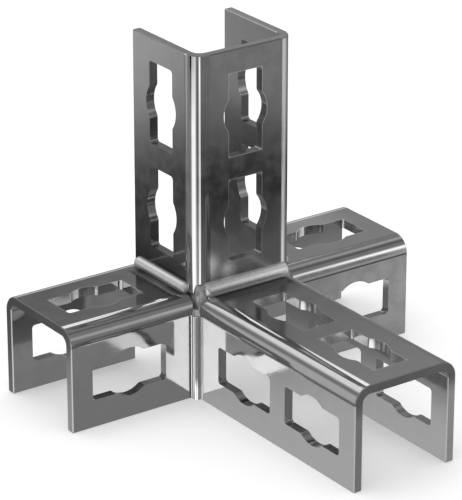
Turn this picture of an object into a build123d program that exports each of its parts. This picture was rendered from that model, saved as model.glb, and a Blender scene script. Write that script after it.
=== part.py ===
from build123d import *

import os
from math import hypot, sqrt

# Welded strut fitting: four folded channels meet at an open hub. Strut slips inside each
# channel and is held through the keyed slots. X runs along the two short arms, the long
# branch points to -Y and the upright to +Z. The origin is on the foot plane, mid-hub.

os.makedirs("parts", exist_ok=True)

# Strut and its fit inside the channels
strut = 41.0
side_play = 0.5

# Folded sheet
sheet = 4.0
bend_inside = 3.5
edge_break = 0.4

# Channel lengths, from the hub face to the free end
short_length = 61.0
long_length = 108.0

# Keyed slots: a rectangle with a round bulge at its middle
slot_length = 36.0
slot_width = 16.5
slot_bulge = 21.5
slot_corner = 1.5
slot_pitch = 46.0
slot_to_end = 28.0

# Weld beads: radius of the bead, how far its centre stands out from the corner, and how far
# it wraps onto the bends at its ends
front_bead = 3.0
front_lift = 2.0
front_wrap = 3.5
side_bead = 2.7
side_lift = 1.5
side_wrap = 1.5
bead_end_gap = 2.0
bead_end_round = 1.8
seam_bead = 2.4
seam_lift = 1.0

# Weld column up the corner: its top stands above the branch, off the middle of the bend
column_rise = 4.2
column_round = 3.4
column_shift = 5.4
column_aim = 65.0
column_sink = 3.0
corner_bulge = 0.3

# Sizes that follow
width = strut + 2 * (side_play + sheet)
depth = strut + sheet
half = width / 2
bend_outside = bend_inside + sheet
slot_depth = sheet + strut / 2

# Each channel's seat at the hub: Z runs out along it and Y out through its web
left_seat = Plane(origin=(-half, 0, depth), x_dir=(0, -1, 0), z_dir=(-1, 0, 0))
right_seat = Plane(origin=(half, 0, depth), x_dir=(0, 1, 0), z_dir=(1, 0, 0))
front_seat = Plane(origin=(0, -half, depth), x_dir=(1, 0, 0), z_dir=(0, -1, 0))
upright_seat = Plane(origin=(0, -half, depth - sheet), x_dir=(-1, 0, 0), z_dir=(0, 0, 1))


def keyed_slot():
    """One slot, long in X, with rounded corners and rounded necks at its bulge."""
    with BuildSketch() as slot:
        Rectangle(slot_length, slot_width)
        fillet(slot.vertices(), slot_corner)
        Circle(slot_bulge / 2)
        necks = slot.vertices().group_by(lambda corner: abs(corner.X))[0]
        fillet(necks, slot_corner)
    return slot.sketch


def slot_places(length, count):
    """Slot centres along a channel, counted back from its free end."""
    return [(length - slot_to_end - slot_pitch * row, 0) for row in range(count)]


def channel(seat, length, count):
    """A sheet folded into a U, with the same row of slots in its web and both flanges."""
    run = Axis(seat.origin, seat.z_dir)
    rise = Axis(seat.origin, seat.y_dir)
    web_plane = Plane(origin=seat.origin, x_dir=seat.z_dir, z_dir=seat.y_dir)
    flange_plane = Plane(
        origin=seat.origin - seat.y_dir * slot_depth, x_dir=seat.z_dir, z_dir=seat.x_dir
    )

    with BuildPart() as folded:
        with BuildSketch(seat):
            with BuildLine():
                FilletPolyline(
                    (-half, -depth), (-half, 0), (half, 0), (half, -depth), radius=bend_outside
                )
                offset(amount=sheet, side=Side.RIGHT)
            make_face()
        extrude(amount=length)

        # Break the sheared edges: along the flange feet, then round the free end
        feet = folded.faces().filter_by(rise).group_by(rise)[0]
        chamfer(feet.edges().filter_by(run), edge_break)
        chamfer(folded.faces().sort_by(run)[-1].edges(), edge_break)

        with BuildSketch(web_plane):
            with Locations(slot_places(length, count)):
                add(keyed_slot())
        extrude(amount=-sheet, mode=Mode.SUBTRACT)

        with BuildSketch(flange_plane):
            with Locations(slot_places(length, count)):
                add(keyed_slot())
        extrude(amount=half, both=True, mode=Mode.SUBTRACT)
    return folded


# Channels
left_arm = channel(left_seat, short_length, 1)
left_arm.part.label = "left_arm"
right_arm = channel(right_seat, short_length, 1)
right_arm.part.label = "right_arm"
branch = channel(front_seat, long_length, 2)
branch.part.label = "branch"
upright = channel(upright_seat, long_length, 2)
upright.part.label = "upright"

# Bead between the upright's web and the top of the branch
bend_centre = half - bend_outside
with BuildPart() as front_foot_weld:
    with BuildSketch(Plane(origin=(0, -half, depth + front_lift), z_dir=(1, 0, 0))):
        Circle(front_bead)
    extrude(amount=bend_centre + front_wrap, both=True)
    fillet(front_foot_weld.faces().filter_by(Axis.X).edges(), bead_end_round)
    add(branch.part, mode=Mode.SUBTRACT)
    add(upright.part, mode=Mode.SUBTRACT)
front_foot_weld.part.label = "front_foot_weld"

# Beads between the upright's flanges and the tops of the two arms
with BuildPart() as left_foot_weld:
    with BuildSketch(
        Plane(
            origin=(-half, -bend_centre - side_wrap, depth + side_lift),
            x_dir=(-1, 0, 0),
            z_dir=(0, 1, 0),
        )
    ):
        Circle(side_bead)
    extrude(amount=bend_centre + side_wrap + depth - half - bead_end_gap)
    fillet(left_foot_weld.faces().filter_by(Axis.Y).edges(), bead_end_round)
    add(left_arm.part, mode=Mode.SUBTRACT)
    add(upright.part, mode=Mode.SUBTRACT)
left_foot_weld.part.label = "left_foot_weld"

with BuildPart() as right_foot_weld:
    mirror(left_foot_weld.part, about=Plane.YZ)
right_foot_weld.part.label = "right_foot_weld"

# Corner welds: each runs down the seam and closes the gap between the three bends, which
# lies on a ball round the point where the bends' axes meet
bend_height = depth - bend_outside
bends_meet = (-bend_centre, -bend_centre, bend_height)
bend_starts = (
    Plane(origin=(-half, -bend_centre, bend_height), z_dir=(-1, 0, 0)),
    Plane(origin=(-bend_centre, -half, bend_height), z_dir=(0, -1, 0)),
    Plane(origin=(-bend_centre, -bend_centre, depth - sheet), z_dir=(0, 0, 1)),
)


def corner_weld(with_column):
    """The weld on the left corner, with or without a column up round the upright's bend."""
    with BuildPart() as weld:
        with Locations(bends_meet):
            Sphere(bend_outside * sqrt(2) + corner_bulge, 0, 90, 90, (0, 0, 180), align=None)
        if with_column:
            with BuildSketch(Plane.XY.offset(depth + column_rise)):
                with Locations((-bend_centre, -bend_centre)):
                    with PolarLocations(column_shift, 1, 180 + column_aim):
                        Circle(column_round)
            with BuildSketch(Plane.XY.offset(bend_height - column_sink)):
                with Locations((-half, -half - seam_lift)):
                    Circle(seam_bead)
            loft()
            with Locations(bends_meet):
                Box(
                    long_length,
                    long_length,
                    long_length,
                    align=(Align.MAX, Align.MAX, Align.MIN),
                    mode=Mode.INTERSECT,
                )

        # Seam bead, on the outer side of both faces only
        with BuildSketch(Plane.XY):
            with Locations((-half, -half - seam_lift)):
                Circle(seam_bead)
            with Locations((-half, -half)):
                Rectangle(
                    2 * seam_bead, 2 * seam_bead, align=(Align.MAX, Align.MAX), mode=Mode.INTERSECT
                )
        extrude(amount=bend_height)

        # Leave the bends themselves clear, and the corner hollow as they are
        with Locations(bends_meet):
            Sphere(hypot(bend_inside, bend_outside), mode=Mode.SUBTRACT)
        with Locations(bend_starts):
            Cylinder(
                bend_outside,
                long_length,
                align=(Align.CENTER, Align.CENTER, Align.MIN),
                mode=Mode.SUBTRACT,
            )
        add(front_foot_weld.part, mode=Mode.SUBTRACT)
        add(left_foot_weld.part, mode=Mode.SUBTRACT)
    return weld


left_corner_weld = corner_weld(with_column=True)
left_corner_weld.part.label = "left_corner_weld"

with BuildPart() as right_corner_weld:
    mirror(corner_weld(with_column=False).part, about=Plane.YZ)
right_corner_weld.part.label = "right_corner_weld"

# Write each piece
channels = (left_arm, right_arm, branch, upright)
foot_welds = (front_foot_weld, left_foot_weld, right_foot_weld)
corner_welds = (left_corner_weld, right_corner_weld)
for piece in channels + foot_welds + corner_welds:
    export_step(piece.part, f"parts/{piece.part.label}.step")
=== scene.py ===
"""Finish, light and camera for the welded strut fitting."""

from collections import namedtuple
from math import cos, radians, sin

import bpy
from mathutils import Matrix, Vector


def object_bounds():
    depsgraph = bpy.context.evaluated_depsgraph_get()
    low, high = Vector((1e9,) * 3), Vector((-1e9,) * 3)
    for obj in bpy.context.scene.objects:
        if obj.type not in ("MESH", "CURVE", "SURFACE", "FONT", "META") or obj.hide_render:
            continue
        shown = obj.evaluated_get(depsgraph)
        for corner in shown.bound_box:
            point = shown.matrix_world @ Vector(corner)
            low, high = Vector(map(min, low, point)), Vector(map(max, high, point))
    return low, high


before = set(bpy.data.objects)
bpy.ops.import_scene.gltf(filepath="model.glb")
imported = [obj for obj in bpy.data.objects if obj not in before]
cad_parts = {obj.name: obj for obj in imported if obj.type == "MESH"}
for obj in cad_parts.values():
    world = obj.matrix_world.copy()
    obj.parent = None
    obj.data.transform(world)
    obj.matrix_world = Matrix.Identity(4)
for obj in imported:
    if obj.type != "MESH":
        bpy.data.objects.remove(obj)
cad_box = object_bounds()

MM = 0.001

# Camera, as solved from the photograph
PHOTO_HEIGHT = 500
VIEW_AZIMUTH = radians(-35.30)
VIEW_ELEVATION = radians(22.82)
VIEW_DISTANCE = 1.275
VIEW_TARGET = Vector((-5.34, -22.26, 60.57)) * MM
FOCAL_PIXELS = 3083.8
FILM_HEIGHT = 36.0

# Folded sheet: its thickness, the reach of a bend, how softly a finish ends there, and how
# near a face a point has to lie to count as being on it
SHEET = 4 * MM
BEND = 7.5 * MM
BEND_EDGE = 2 * MM
SKIN = SHEET / 20

# Keyed slots: how deep below the web those of the flanges lie, their own size, the reach round
# their middle line in which their walls lie, and where they are, back from the free end
SLOT_DEPTH = 24.5 * MM
SLOT_HALF_LENGTH = 18 * MM
SLOT_HALF_WIDTH = 8.25 * MM
SLOT_BULGE = 10.75 * MM
SLOT_REACH = 11.5 * MM
SLOT_CENTRES = (28 * MM, 74 * MM)

# Where the channels lie. Each has the axis across it, the one out through its web and where
# the web is, and the one along it with its free end and its hub end.
LOW_CORNER, HIGH_CORNER = cad_box
CHANNEL_HALF = HIGH_CORNER[1]
ARM_TOP = max(vertex.co.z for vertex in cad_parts["left_arm"].data.vertices)
Channel = namedtuple("Channel", "across out web run end hub")
CHANNELS = {
    "left_arm": Channel("Y", "Z", ARM_TOP, "X", LOW_CORNER[0], -CHANNEL_HALF),
    "right_arm": Channel("Y", "Z", ARM_TOP, "X", HIGH_CORNER[0], CHANNEL_HALF),
    "branch": Channel("X", "Z", ARM_TOP, "Y", LOW_CORNER[1], -CHANNEL_HALF),
    "upright": Channel("X", "Y", -CHANNEL_HALF, "Z", HIGH_CORNER[2], ARM_TOP),
}

# Noise, as scale and detail, the part of its range that is used, and bumps, as strength and
# distance
GRAIN = (30.0, 5.0)
GRAIN_STRETCH = 40.0
GRAIN_BUMP = (0.006, 0.4 * MM)
WAVES = (38.0, 1.0)
WAVE_BUMP = (0.015, 2 * MM)
MOTTLE = (160.0, 4.0)
MOTTLE_SPAN = (0.35, 0.65)
BEAD_MOTTLE = (420.0, 4.0)
STREAKS = (900.0, 3.0)
STREAK_STRETCH = 8.0
STREAK_BUMP = (0.35, 0.5 * MM)
WELD_SPAN = (0.3, 0.7)

# Sheet steel, the thin line round the slots of a web, made less metallic as a painted highlight,
# and the painted light and shade on the punched walls of the slots in the web and in the flanges
STEEL_GREY = (0.595, 0.615)
STEEL_ROUGH = (0.06, 0.10)
RIM = 0.45 * MM
RIM_METAL = 0.7
PAINTED_WALL_LIGHT_LYING = (0.93, 0.70)
PAINTED_WALL_LIGHT_UPRIGHT = (0.50, 0.57)
PUNCHED_ROUGH = 0.06

# Painted shade by the welds, as how bright each channel stays: fades from the hub, each with its
# start, its end and the share left before it, a long even fade, and what the web and the flanges
# take of them
HubShade = namedtuple("HubShade", "fades far far_reach on_web on_flange")
HUB_SHADE = {
    "left_arm": HubShade([(6.8 * MM, 8 * MM, 0.20)], 1.0, 50 * MM, 1.0, 0.0),
    "right_arm": HubShade([], 1.0, 50 * MM, 0.0, 0.0),
    "branch": HubShade([(8 * MM, 11.5 * MM, 0.40), (0, 22 * MM, 0.15)], 0.5, 110 * MM, 1.0, 0.0),
    "upright": HubShade([(0, 18 * MM, 0.40)], 0.3, 36 * MM, 0.0, 1.0),
}
HUB_SHADE_SPAN = (0.2, 1.0)
HUB_SHADE_ROUGH = 0.10

# On the left arm painted light beyond the painted shade, and the side the painted shade leaves
# out
ARM_GLOW = 0.6
ARM_GLOW_ALONG = (9 * MM, 19 * MM)
ARM_GLOW_ACROSS = (-4 * MM, 5 * MM)
ARM_UNSHADED_SIDE = (10 * MM, 16 * MM)

# On the branch the painted shade leaves the sheet bright right under the bead
BRANCH_TOE = (3.0 * MM, 3.3 * MM)

# Low on the upright's web: the painted shade, as what it loses in brightness, and how blurred it
# is
WEB_SHADE = 0.48
WEB_SHADE_RANGE = (36 * MM, 62 * MM)
WEB_BLUR = 0.13
WEB_BLUR_RANGE = (20 * MM, 42 * MM)

# Soft patches of painted highlight and painted shade on the outer face of a web: sideways, out
# from the hub, reach and brightness
PAINTED_PATCHES = {
    "left_arm": (),
    "right_arm": ((14 * MM, 36 * MM, 26 * MM, 1.4),),
    "branch": (),
    "upright": (
        (-20 * MM, 8 * MM, 9 * MM, 1.5),
        (-19 * MM, 13 * MM, 8 * MM, 1.5),
        (-9 * MM, 8 * MM, 6 * MM, 1.5),
        (-12 * MM, 26 * MM, 14 * MM, 0.34),
        (12 * MM, 27 * MM, 13 * MM, 0.36),
        (4 * MM, 58 * MM, 24 * MM, 0.70),
    ),
}

# Painted light and shade on a channel's cut end: its brightness on its web and its two flanges,
# and where one turns into the other
END_FACES = {"left_arm": (0.42, 0.76, 0.42), "branch": (0.55, 0.98, 1.45)}
END_TURN = (6 * MM, 16 * MM)
END_SKIN = 0.05 * MM

# Shade on the inner face of a flange: below the bends of the lying channels, and in the middle
# of the upright
LYING_SHADE = 0.30
LYING_SHADE_DEPTH = (12 * MM, 30 * MM)
UPRIGHT_SHADE = 0.42
UPRIGHT_SHADE_IN = (30 * MM, 42 * MM)
UPRIGHT_SHADE_OUT = (56 * MM, 72 * MM)

# Foot beads: the greys between their ends, which on the front bead are painted light brightening
# it toward its right end, the share of them left in the toe under painted shade, how high the
# toe reaches, and the share left on the crown under painted shade
Bead = namedtuple("Bead", "greys toe toe_top crown")
FRONT_BEAD = Bead((0.66, 1.0), 1.0, ARM_TOP + 1.0 * MM, 0.8)
SIDE_BEAD = Bead((0.88, 0.88), 0.35, ARM_TOP + 3.4 * MM, 1.0)
BEAD_ENDS = (-25 * MM, 15 * MM)
BEAD_TOE_BOTTOM = ARM_TOP + 0.1 * MM
BEAD_CROWN = (ARM_TOP + 4.0 * MM, ARM_TOP + 5.4 * MM)
BEAD_MOTTLE_GREY = 0.05
BEAD_METAL = 0.65
BEAD_ROUGH = (0.27, 0.33)

# Seam weld: painted highlight and shade across it as greys, from the branch's side to the arm's,
# both as places round the bead; painted light keeps it evenly bright at its top and lighter at
# its foot
SEAM_TOP = ARM_TOP - 5.8 * MM
SEAM_TOP_EDGE = 1.2 * MM
SEAM_GREY = (0.20, 1.0)
SEAM_TURN = (-0.6 * MM, 1.4 * MM)
SEAM_FAR_GREY = 0.40
SEAM_FAR_TURN = (-2.4 * MM, -1.7 * MM)
SEAM_FOOT = (4 * MM, 13 * MM)
SEAM_FOOT_GREY = 0.75
SEAM_ROUGH = 0.12

# The painted shadow line at its toe on the left arm, out from the hub
SEAM_TOE = (2.3 * MM, 3.2 * MM)
SEAM_TOE_EDGE = 0.3 * MM
SEAM_TOE_SHADE = 0.12

# Streaked corner above the seam: its greys, and the shares left under painted shade on the arm's
# side and outside
CORNER_GREY = (0.42, 0.85)
CORNER_ARM_SIDE = (-20.5 * MM, -23.5 * MM)
CORNER_ARM_SHADE = 0.15
CORNER_OUTSIDE = (24.2 * MM, 25.3 * MM)
CORNER_OUTSIDE_SHADE = 0.28
CORNER_ROUGH = 0.34
CORNER_METAL = 0.9

# Studio, angles in degrees: grey walls that darken down to a line just above the ground, and
# the paler ground
WHITE = (1.0, 1.0, 1.0, 1.0)
WALL_GREY = (0.04, 0.24)
WALL_RISE = (-21.4, -19.8)
GROUND_GREY = 0.215
GROUND_RISE = (-24.4, -21.6)
HIGH_GREY = 0.03
HIGH_RISE = (0.0, 60.0)
FILL_LIGHT = 0.75

# Soft panels round the object, by what mirrors them: azimuth, elevation, half width, half
# height, strength and the share over which the panel fades out
PANELS = {
    "upright's left bend, and the seam": (
        (195.5, -21, 21, 32, 1.55, 0.7),
        (231.5, -35.5, 8, 19, 1.9, 0.5),
        (217, -27, 12, 7.5, 0.5, 0.9),
        (157, -21.5, 29, 12, 0.17, 0.5),
        (237, -21, 5, 3.2, 0.5, 0.6),
        (227, -21.5, 4, 3.5, -0.4, 0.6),
        (231.5, -21.9, 4, 0.9, -0.4, 0.6),
        (236, -18.8, 6.5, 2, 0.9, 0.7),
        (191, -17.5, 19, 3.2, -1.1, 0.5),
        (142.5, -18.5, 6, 3.5, 0.22, 0.7),
        (166, -18, 10, 2.8, -0.2, 0.6),
    ),
    "upright's right bend": (
        (335, -20, 18, 8, 0.54, 0.25),
        (330, -24.5, 14, 4, 0.45, 0.9),
        (358, -21, 14, 5, 0.2, 0.6),
        (326, -22.6, 7, 1.2, 0.45, 0.7),
        (328, -20.7, 8, 0.8, -0.3, 0.6),
    ),
    "faces to the front": (
        (307, -18.8, 8, 2.2, 0.05, 0.9),
        (299, -23.5, 6.5, 0.65, 0.5, 0.8),
        (309.5, -6.5, 10, 9.5, 0.23, 0.75),
        (309.3, -23.2, 4.5, 2, 0.38, 1.0),
    ),
    "faces to the left": (
        (132, 3, 16, 19.5, 0.31, 0.4),
        (126, -36.5, 8, 12.5, 0.32, 0.15),
        (121, -16.3, 6.2, 6.2, 0.73, 1.0),
    ),
    "bends of the lying channels": (
        (310, 11, 4.5, 27.5, 2.1, 0.8),
        (304, 27, 6, 14, 0.27, 0.9),
        (107, 44.5, 31, 15.5, 0.78, 0.65),
        (1.5, 49, 23, 12, 0.48, 0.95),
        (340.5, 52.5, 20.5, 7.7, -0.12, 0.4),
        (62, 35.2, 11.5, 6.6, 1.1, 0.3),
        (51, 43.5, 8.5, 5.5, 1.1, 0.3),
    ),
    "faces to the top": (
        (50, 22.5, 7, 6, 0.06, 0.8),
        (60, 24, 6, 4, -0.08, 0.8),
        (58, 11, 8, 9, 0.42, 0.6),
        (46.5, -19.5, 8.5, 12, 0.09, 0.6),
    ),
    "a darker band all round": ((0, -16.4, 181, 2.6, -0.17, 0.5),),
}

# Floor and lamp
FLOOR_SIZE = 6.0
FLOOR_GREY = 0.85
FLOOR_LIFT = 0.30
LAMP_SIZE = 1.2
LAMP_POWER = 6.0
LAMP_PLACE = Vector((-0.3, 0.2, 1.5))


class Graph:
    """A node tree with short calls to add and join nodes."""

    def __init__(self, tree):
        self.tree = tree
        tree.nodes.clear()

    def add(self, kind, inputs=None, **settings):
        node = self.tree.nodes.new(kind)
        for name, value in settings.items():
            setattr(node, name, value)
        for name, value in (inputs or {}).items():
            if isinstance(value, bpy.types.NodeSocket):
                self.tree.links.new(value, node.inputs[name])
            else:
                node.inputs[name].default_value = value
        return node

    def math(self, operation, a, b=0.0):
        return self.add("ShaderNodeMath", {0: a, 1: b}, operation=operation).outputs[0]

    def times(self, first, *others):
        product = first
        for other in others:
            product = self.math("MULTIPLY", product, other)
        return product

    def apart(self, a, b=0.0):
        return self.math("ABSOLUTE", self.math("SUBTRACT", a, b))

    def radius(self, a, b):
        squares = [self.math("POWER", side, 2.0) for side in (a, b)]
        return self.math("SQRT", self.math("ADD", *squares))

    def within(self, value, low, high):
        return self.times(
            self.math("GREATER_THAN", value, low), self.math("LESS_THAN", value, high)
        )

    def mix(self, share, a, b):
        return self.add(
            "ShaderNodeMix", {"Factor": share, "A": a, "B": b}, data_type="FLOAT"
        ).outputs["Result"]

    def ramp(self, value, low, high, to_low=0.0, to_high=1.0, interpolation="SMOOTHSTEP"):
        return self.add(
            "ShaderNodeMapRange",
            {
                "Value": value,
                "From Min": low,
                "From Max": high,
                "To Min": to_low,
                "To Max": to_high,
            },
            interpolation_type=interpolation,
        ).outputs["Result"]

    def parts(self, vector):
        return self.add("ShaderNodeSeparateXYZ", {"Vector": vector}).outputs

    def scaled(self, vector, scale):
        return self.add("ShaderNodeMapping", {"Vector": vector, "Scale": scale}).outputs[0]

    def noise(self, place, scale, detail):
        return self.add(
            "ShaderNodeTexNoise", {"Vector": place, "Scale": scale, "Detail": detail}
        ).outputs["Fac"]

    def grey(self, value):
        return self.add(
            "ShaderNodeCombineColor", {"Red": value, "Green": value, "Blue": value}
        ).outputs[0]

    def bump(self, height, strength, distance, **normal):
        return self.add(
            "ShaderNodeBump",
            {"Height": height, "Strength": strength, "Distance": distance, **normal},
        ).outputs[0]

    def mirrored(self, ray):
        return self.math("MAXIMUM", ray["Is Glossy Ray"], ray["Is Transmission Ray"])


def new_material(name):
    """An empty material, its graph, and where a point lies on the solid that wears it."""
    material = bpy.data.materials.new(name)
    material.use_nodes = True
    g = Graph(material.node_tree)
    place = g.add("ShaderNodeTexCoord").outputs["Object"]
    return material, g, place


def put_shader(g, inputs):
    """Ends a material's graph in a principled shader."""
    shader = g.add("ShaderNodeBsdfPrincipled", inputs)
    g.add("ShaderNodeOutputMaterial", {"Surface": shader.outputs[0]})


class Sheet:
    """Where a point lies on a channel: across it, below its web and back from its two ends."""

    def __init__(self, g, place, channel):
        seat = CHANNELS[channel]
        parts = g.parts(place)
        self.sideways = parts[seat.across]
        self.across = g.math("ABSOLUTE", self.sideways)
        self.depth = g.apart(parts[seat.out], seat.web)
        self.from_end = g.apart(parts[seat.run], seat.end)
        self.from_hub = g.apart(parts[seat.run], seat.hub)
        self.on_web = g.math("LESS_THAN", self.depth, SKIN)
        flat_half = CHANNEL_HALF - BEND
        self.between_bends = g.ramp(self.across, flat_half, flat_half + BEND_EDGE, 1.0, 0.0)


def slot_walls(g, sheet):
    """1 on the punched walls of the web's slots, and 1 on those of the flanges' slots."""
    in_web = g.times(
        g.within(sheet.depth, SKIN, SHEET - SKIN),
        g.math("LESS_THAN", sheet.across, SLOT_REACH),
    )
    in_flange = g.times(
        g.within(sheet.across, CHANNEL_HALF - SHEET + SKIN, CHANNEL_HALF - SKIN),
        g.within(sheet.depth, SLOT_DEPTH - SLOT_REACH, SLOT_DEPTH + SLOT_REACH),
    )
    beyond_end = g.math("GREATER_THAN", sheet.from_end, SHEET / 2)
    return [g.times(wall, beyond_end) for wall in (in_web, in_flange)]


def slot_rims(g, sheet):
    """1 on the thin line round each slot of the web, where a highlight is painted."""
    along = g.math("MINIMUM", *[g.apart(sheet.from_end, centre) for centre in SLOT_CENTRES])
    off_straight = g.math(
        "MAXIMUM",
        g.math("SUBTRACT", along, SLOT_HALF_LENGTH),
        g.math("SUBTRACT", sheet.across, SLOT_HALF_WIDTH),
    )
    off_bulge = g.math("SUBTRACT", g.radius(along, sheet.across), SLOT_BULGE)
    outside = g.math("MINIMUM", off_straight, off_bulge)
    return g.times(g.ramp(outside, RIM / 3, RIM, 1.0, 0.0), sheet.on_web)


def painted_hub_shade(g, sheet, channel):
    """Painted shade by the welds, with painted light on the left arm: what is left of the
    sheet's brightness; the bends stay bright.
    """
    hub_shade = HUB_SHADE[channel]
    # Painted shade: the sheet darkens toward the hub, by the welds
    kept = g.ramp(sheet.from_hub, 0.0, hub_shade.far_reach, hub_shade.far, 1.0, "LINEAR")
    for start, end, dark in hub_shade.fades:
        kept = g.times(kept, g.ramp(sheet.from_hub, start, end, dark, 1.0))
    if channel == "left_arm":
        # Painted light beyond the painted shade; the far side gets no painted shade
        glow = g.times(
            g.ramp(sheet.from_hub, *ARM_GLOW_ALONG, ARM_GLOW, 0.0),
            g.ramp(sheet.sideways, *ARM_GLOW_ACROSS, 1.0, 0.0),
        )
        kept = g.times(kept, g.math("ADD", glow, 1.0))
        kept = g.math("MAXIMUM", kept, g.ramp(sheet.sideways, *ARM_UNSHADED_SIDE))
    if channel == "branch":
        # No painted shade right under the bead
        kept = g.math("MAXIMUM", kept, g.ramp(sheet.from_hub, *BRANCH_TOE, 1.0, 0.0))
    web = g.times(sheet.between_bends, hub_shade.on_web)
    outside = g.math("GREATER_THAN", sheet.across, CHANNEL_HALF - SKIN)
    flange = g.times(outside, hub_shade.on_flange)
    share = g.mix(g.ramp(sheet.depth, BEND - BEND_EDGE, BEND), web, flange)
    return g.mix(share, 1.0, kept)


def low_on_web(g, sheet, value, fade):
    """A value at the foot of the upright's web that fades out upward and toward its bends."""
    return g.times(g.ramp(sheet.from_hub, *fade, value, 0.0), sheet.between_bends, sheet.on_web)


def patch(g, sheet, sideways, out, reach):
    """1 in the middle of a soft round patch on the web's outer face; these patches hold painted
    highlights and painted shade.
    """
    away = g.radius(
        g.math("SUBTRACT", sheet.sideways, sideways), g.math("SUBTRACT", sheet.from_hub, out)
    )
    return g.times(g.ramp(away, 0.0, reach, 1.0, 0.0), sheet.on_web)


def seam_toe(g, sheet):
    """What is left under the painted shadow line at the seam weld's toe, down the left arm's
    front flange.
    """
    start, end = SEAM_TOE
    on_line = g.times(
        g.ramp(sheet.from_hub, start, start + SEAM_TOE_EDGE),
        g.ramp(sheet.from_hub, end, end + SEAM_TOE_EDGE, 1.0, 0.0),
        g.math("LESS_THAN", sheet.sideways, SHEET - CHANNEL_HALF),
        g.math("GREATER_THAN", sheet.depth, BEND),
    )
    return g.mix(on_line, 1.0, SEAM_TOE_SHADE)


def inner_shade(g, sheet, channel):
    """What is left on the inner face of the flange on the far side."""
    on_face = g.times(
        g.math("LESS_THAN", g.apart(sheet.sideways, CHANNEL_HALF - SHEET), SKIN),
        g.math("GREATER_THAN", sheet.depth, SHEET + SKIN),
    )
    if channel == "upright":
        shade = g.times(
            g.ramp(sheet.from_hub, *UPRIGHT_SHADE_IN, 0.0, UPRIGHT_SHADE),
            g.ramp(sheet.from_hub, *UPRIGHT_SHADE_OUT, 1.0, 0.0),
        )
    else:
        shade = g.ramp(sheet.depth, *LYING_SHADE_DEPTH, LYING_SHADE, 0.0)
    return g.math("SUBTRACT", 1.0, g.times(on_face, shade))


def end_face(g, sheet, channel, kept):
    """The brightness with the painted light and shade of the channel's cut end put in."""
    web, low_side, high_side = END_FACES[channel]
    flange = g.ramp(sheet.sideways, -CHANNEL_HALF, CHANNEL_HALF, low_side, high_side)
    tone = g.mix(g.ramp(sheet.depth, *END_TURN), web, flange)
    return g.mix(g.math("LESS_THAN", sheet.from_end, END_SKIN), kept, tone)


def sheet_steel(channel):
    """Bright rolled sheet with a faint grain along the channel's run, with painted shade by the
    welds and painted light and shade in places.
    """
    material, g, place = new_material(channel + "_steel")
    run = CHANNELS[channel].run
    squeeze = [1.0 if axis == run else GRAIN_STRETCH for axis in "XYZ"]
    grain = g.noise(g.scaled(place, squeeze), *GRAIN)
    mottle = g.noise(place, *MOTTLE)
    waves = g.noise(place, *WAVES)
    sheet = Sheet(g, place, channel)
    walls = slot_walls(g, sheet)

    kept = painted_hub_shade(g, sheet, channel)
    rough = g.math(
        "ADD",
        g.ramp(mottle, *MOTTLE_SPAN, *STEEL_ROUGH),
        g.times(g.math("MAXIMUM", *walls), PUNCHED_ROUGH),
    )
    if channel == "upright":
        # Painted shade low on the upright's web
        web_shade = low_on_web(g, sheet, WEB_SHADE, WEB_SHADE_RANGE)
        kept = g.times(kept, g.math("SUBTRACT", 1.0, web_shade))
        rough = g.math("ADD", rough, low_on_web(g, sheet, WEB_BLUR, WEB_BLUR_RANGE))
    else:
        rough = g.math("ADD", rough, g.ramp(kept, *HUB_SHADE_SPAN, HUB_SHADE_ROUGH, 0.0))
    # Patches of painted highlight and painted shade
    for sideways, out, reach, bright in PAINTED_PATCHES[channel]:
        kept = g.mix(patch(g, sheet, sideways, out, reach), kept, bright)
    if channel == "left_arm":
        # Painted shadow line at the seam's toe
        kept = g.times(kept, seam_toe(g, sheet))
    if channel != "right_arm":
        kept = g.times(kept, inner_shade(g, sheet, channel))
    if channel in END_FACES:
        # Painted light and shade on the cut end
        kept = end_face(g, sheet, channel, kept)
    # Painted light and shade on the punched walls of the slots
    for wall, bright in zip(walls, PAINTED_WALL_LIGHT_UPRIGHT if channel == "upright" else PAINTED_WALL_LIGHT_LYING):
        kept = g.mix(wall, kept, bright)

    tone = g.times(g.math("ADD", grain, mottle), 0.5)
    put_shader(
        g,
        {
            "Base Color": g.grey(g.times(g.ramp(tone, *MOTTLE_SPAN, *STEEL_GREY), kept)),
            # Less metallic line round the slots: a painted highlight
            "Metallic": g.mix(slot_rims(g, sheet), 1.0, RIM_METAL),
            "Roughness": rough,
            "Normal": g.bump(grain, *GRAIN_BUMP, Normal=g.bump(waves, *WAVE_BUMP)),
        },
    )
    return material


def bead_steel(name, bead):
    """Satin foot bead, lighter than the sheet, with painted light along it and painted shade at
    its toe and crown.
    """
    material, g, place = new_material(name)
    mottle = g.noise(place, *BEAD_MOTTLE)
    parts = g.parts(place)
    grey = g.math(
        "ADD",
        g.ramp(mottle, *WELD_SPAN, 0.0, BEAD_MOTTLE_GREY),
        # Painted light: brighter toward one end
        g.ramp(parts["X"], *BEAD_ENDS, *bead.greys, "LINEAR"),
    )
    # Painted shade at the toe and on the crown
    toe = g.ramp(parts["Z"], BEAD_TOE_BOTTOM, bead.toe_top, bead.toe, 1.0)
    crown = g.ramp(parts["Z"], *BEAD_CROWN, 1.0, bead.crown)
    put_shader(
        g,
        {
            "Base Color": g.grey(g.times(grey, toe, crown)),
            "Metallic": BEAD_METAL,
            "Roughness": g.ramp(mottle, *WELD_SPAN, *BEAD_ROUGH),
        },
    )
    return material


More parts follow.
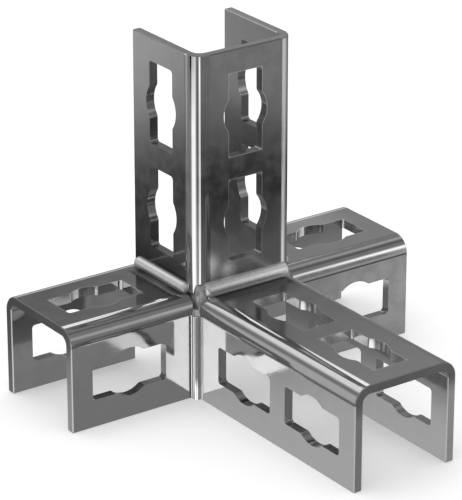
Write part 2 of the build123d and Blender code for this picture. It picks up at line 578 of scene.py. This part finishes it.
def corner_steel():
    """Seam bead with painted highlight and shade, under a dull streaked corner with painted
    shade on the arm's side and outside.
    """
    material, g, place = new_material("corner_steel")
    parts = g.parts(place)
    out_x = g.math("ABSOLUTE", parts["X"])
    out_y = g.math("ABSOLUTE", parts["Y"])
    streaks = g.noise(g.scaled(place, (1.0, 1.0, 1.0 / STREAK_STRETCH)), *STREAKS)
    corner = g.ramp(parts["Z"], SEAM_TOP, SEAM_TOP + SEAM_TOP_EDGE)

    # Painted highlight and shade across the seam bead, lighter at its top and foot
    round_bead = g.math("SUBTRACT", out_x, out_y)
    seam = g.math(
        "ADD",
        g.ramp(round_bead, *SEAM_TURN, *SEAM_GREY),
        g.ramp(round_bead, *SEAM_FAR_TURN, SEAM_FAR_GREY, 0.0),
    )
    top = g.ramp(parts["Z"], SEAM_TOP - 2 * SEAM_TOP_EDGE, SEAM_TOP - SEAM_TOP_EDGE)
    foot = g.ramp(parts["Z"], *SEAM_FOOT, SEAM_FOOT_GREY, 0.0)
    seam = g.math("MAXIMUM", g.math("MAXIMUM", seam, top), foot)

    # Painted shade on the arm's side and outside of the streaked corner
    streaked = g.times(
        g.ramp(streaks, *WELD_SPAN, *CORNER_GREY),
        g.ramp(parts["Y"], *CORNER_ARM_SIDE, CORNER_ARM_SHADE, 1.0),
        g.ramp(out_x, *CORNER_OUTSIDE, 1.0, CORNER_OUTSIDE_SHADE),
    )
    put_shader(
        g,
        {
            "Base Color": g.grey(g.mix(corner, seam, streaked)),
            "Metallic": CORNER_METAL,
            "Roughness": g.mix(corner, SEAM_ROUGH, CORNER_ROUGH),
            "Normal": g.bump(g.times(streaks, corner), *STREAK_BUMP),
        },
    )
    return material


def dress(node, material):
    """Gives a carried-over solid its finish."""
    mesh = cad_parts[node].data
    if not mesh.materials:
        mesh.materials.append(material)
    for slot in range(len(mesh.materials)):
        mesh.materials[slot] = material


def dress_all():
    """Finish of every piece."""
    for channel in CHANNELS:
        dress(channel, sheet_steel(channel))
    dress("front_foot_weld", bead_steel("front_bead_steel", FRONT_BEAD))
    side_bead = bead_steel("side_bead_steel", SIDE_BEAD)
    corner = corner_steel()
    for side in ("left", "right"):
        dress(side + "_foot_weld", side_bead)
        dress(side + "_corner_weld", corner)


def panel(g, direction, elevation, azimuth, level, wide, tall, strength, soft):
    """A lit patch of the studio, by its half sizes in degrees."""
    turn = (0.0, 0.0, -radians(azimuth))
    parts = g.parts(
        g.add("ShaderNodeMapping", {"Vector": direction, "Rotation": turn}).outputs[0]
    )
    aside = g.math("ABSOLUTE", g.math("ARCTAN2", parts["Y"], parts["X"]))
    above = g.apart(elevation, radians(level))
    hard = 1.0 - soft
    return g.times(
        g.ramp(aside, radians(wide * hard), radians(wide), 1.0, 0.0),
        g.ramp(above, radians(tall * hard), radians(tall), 1.0, 0.0),
        strength,
    )


def studio_world():
    """White to the camera, a grey studio with soft panels to the steel, and an even fill."""
    world = bpy.data.worlds.new("studio")
    world.use_nodes = True
    g = Graph(world.node_tree)
    direction = g.add("ShaderNodeTexCoord").outputs["Generated"]
    elevation = g.math("ARCSINE", g.parts(direction)["Z"])

    light = g.ramp(elevation, *map(radians, WALL_RISE), *WALL_GREY)
    ground = g.ramp(elevation, *map(radians, GROUND_RISE), GROUND_GREY, 0.0)
    high = g.ramp(elevation, *map(radians, HIGH_RISE), 0.0, HIGH_GREY)
    for part in (ground, high):
        light = g.math("ADD", light, part)
    for group in PANELS.values():
        for settings in group:
            light = g.math("ADD", light, panel(g, direction, elevation, *settings))

    mirrored, fill, white = (
        g.add("ShaderNodeBackground", {"Color": WHITE, "Strength": strength}).outputs[0]
        for strength in (light, FILL_LIGHT, 1.0)
    )
    ray = g.add("ShaderNodeLightPath").outputs
    lit = g.add("ShaderNodeMixShader", {0: g.mirrored(ray), 1: fill, 2: mirrored}).outputs[0]
    seen = g.add("ShaderNodeMixShader", {0: ray["Is Camera Ray"], 1: lit, 2: white}).outputs[0]
    g.add("ShaderNodeOutputWorld", {"Surface": seen})
    bpy.context.scene.world = world


def pale_floor():
    """A pale floor that keeps the object's shadow and lets the steel see the studio."""
    bpy.ops.mesh.primitive_plane_add(size=FLOOR_SIZE)
    floor = bpy.context.object
    floor.name = "floor"
    material = bpy.data.materials.new("pale_floor")
    material.use_nodes = True
    g = Graph(material.node_tree)
    grey = (FLOOR_GREY, FLOOR_GREY, FLOOR_GREY, 1.0)
    matt = g.add("ShaderNodeBsdfDiffuse", {"Color": grey}).outputs[0]
    ray = g.add("ShaderNodeLightPath").outputs
    lift = g.times(ray["Is Camera Ray"], FLOOR_LIFT)
    glow = g.add("ShaderNodeEmission", {"Color": WHITE, "Strength": lift}).outputs[0]
    shown = g.add("ShaderNodeAddShader", {0: matt, 1: glow}).outputs[0]
    clear = g.add("ShaderNodeBsdfTransparent").outputs[0]
    surface = g.add("ShaderNodeMixShader", {0: g.mirrored(ray), 1: shown, 2: clear}).outputs[0]
    g.add("ShaderNodeOutputMaterial", {"Surface": surface})
    floor.data.materials.append(material)
    floor.visible_shadow = False


def overhead_lamp():
    """One large soft lamp overhead gives the floor its light and the shadow its softness."""
    lamp = bpy.data.lights.new("overhead", "AREA")
    lamp.shape = "RECTANGLE"
    lamp.size = LAMP_SIZE
    lamp.size_y = LAMP_SIZE
    lamp.energy = LAMP_POWER
    holder = bpy.data.objects.new("overhead", lamp)
    holder.location = LAMP_PLACE
    holder.rotation_euler = (-LAMP_PLACE).to_track_quat("-Z", "Y").to_euler()
    holder.visible_glossy = False
    bpy.context.scene.collection.objects.link(holder)


def photo_camera():
    """The photograph's own view."""
    data = bpy.data.cameras.new("camera")
    data.sensor_fit = "VERTICAL"
    data.sensor_height = FILM_HEIGHT
    data.lens = FOCAL_PIXELS * FILM_HEIGHT / PHOTO_HEIGHT
    camera = bpy.data.objects.new("camera", data)
    back = Vector(
        (
            sin(VIEW_AZIMUTH) * cos(VIEW_ELEVATION),
            -cos(VIEW_AZIMUTH) * cos(VIEW_ELEVATION),
            sin(VIEW_ELEVATION),
        )
    )
    camera.location = VIEW_TARGET + VIEW_DISTANCE * back
    camera.rotation_euler = back.to_track_quat("Z", "Y").to_euler()
    bpy.context.scene.collection.objects.link(camera)
    bpy.context.scene.camera = camera


dress_all()
studio_world()
pale_floor()
overhead_lamp()
photo_camera()
bpy.context.scene.view_settings.view_transform = "Standard"
